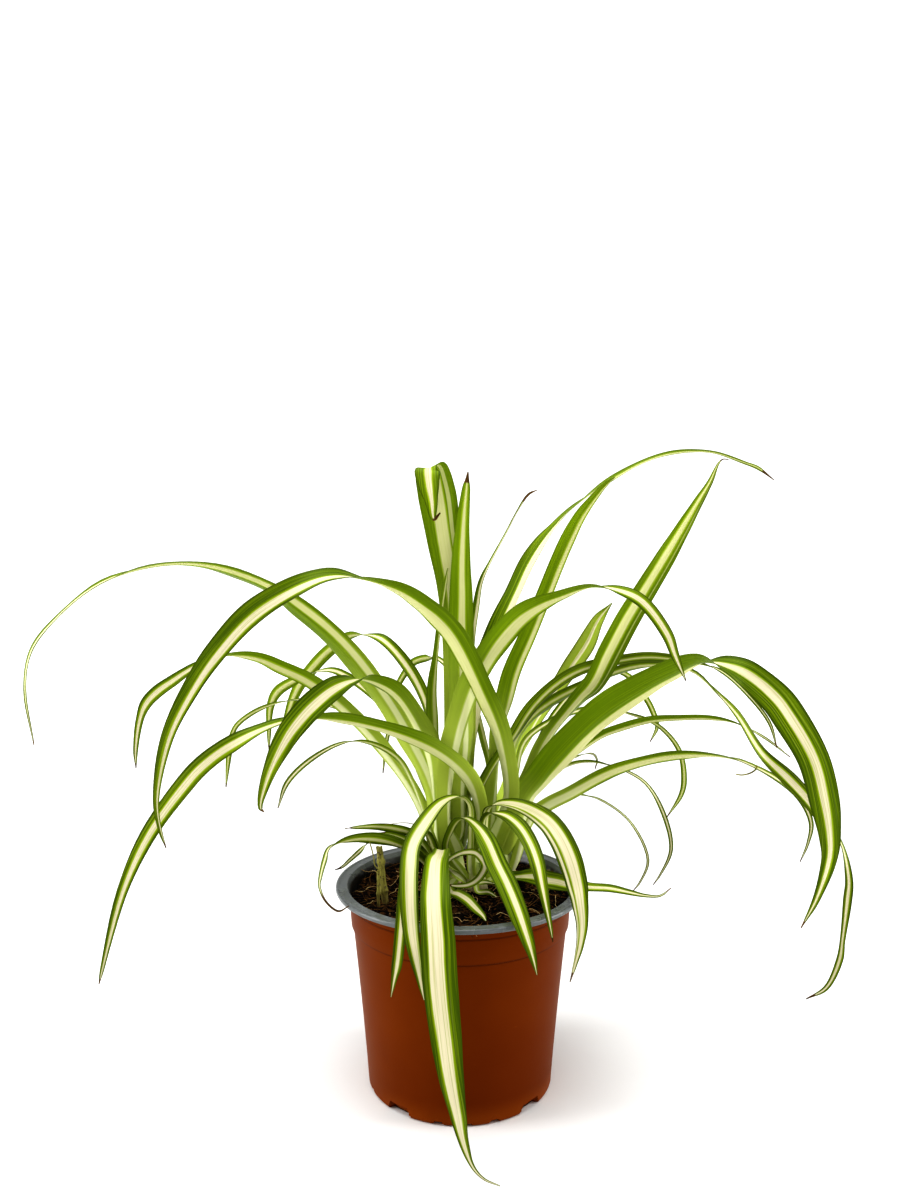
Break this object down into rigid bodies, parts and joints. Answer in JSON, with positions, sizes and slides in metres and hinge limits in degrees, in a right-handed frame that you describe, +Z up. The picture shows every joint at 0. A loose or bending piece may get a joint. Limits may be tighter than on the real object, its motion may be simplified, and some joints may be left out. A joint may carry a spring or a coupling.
{
  "type": "potted spider plant",
  "caption": "Spider plant with arching cream-striped strap leaves growing from short stems in a round plastic nursery pot filled with dark mix.",
  "frame": {"origin": "middle of the pot's underside, on the surface it stands on", "axes": "+Z up along the pot's axis; +X to the right and -Y towards the viewer of the front view"},
  "size_m": [0.3928, 0.19, 0.3087],
  "materials": {
    "terracotta_plastic": "satin",
    "potting_mix": "matt, fibrous",
    "sheath": "satin",
    "leaf": "satin, cream middle stripe",
    "shaded_leaf": "satin, white middle stripe",
    "dry_stem": "matt"
  },
  "bodies": {
    "root": {"front_crown": "sheath", "front_leaf_1": "shaded_leaf", "front_leaf_2": "shaded_leaf", "front_leaf_3": "shaded_leaf", "front_leaf_4": "shaded_leaf", "front_leaf_5": "shaded_leaf", "front_leaf_6": "shaded_leaf", "front_leaf_7": "shaded_leaf", "front_leaf_8": "shaded_leaf", "left_crown": "sheath", "left_leaf_1": "leaf", "left_leaf_10": "leaf", "left_leaf_2": "leaf", "left_leaf_3": "leaf", "left_leaf_4": "leaf", "left_leaf_5": "leaf", "left_leaf_6": "leaf", "left_leaf_7": "leaf", "left_leaf_8": "leaf", "left_leaf_9": "leaf", "low_leaf_1": "shaded_leaf", "low_leaf_2": "shaded_leaf", "low_leaf_3": "shaded_leaf", "low_leaf_4": "shaded_leaf", "pot": "terracotta_plastic", "right_crown": "sheath", "right_leaf_1": "leaf", "right_leaf_10": "leaf", "right_leaf_11": "leaf", "right_leaf_12": "leaf", "right_leaf_13": "leaf", "right_leaf_14": "leaf", "right_leaf_15": "leaf", "right_leaf_16": "leaf", "right_leaf_2": "leaf", "right_leaf_3": "leaf", "right_leaf_4": "leaf", "right_leaf_5": "leaf", "right_leaf_6": "leaf", "right_leaf_7": "leaf", "right_leaf_8": "leaf", "right_leaf_9": "leaf", "soil": "potting_mix", "stem_stub_1": "dry_stem", "stem_stub_2": "dry_stem", "top_leaf_1": "leaf", "top_leaf_2": "leaf", "top_leaf_3": "leaf", "top_leaf_4": "leaf", "young_leaf_1": "shaded_leaf", "young_leaf_2": "shaded_leaf"}
  },
  "joints": []
}
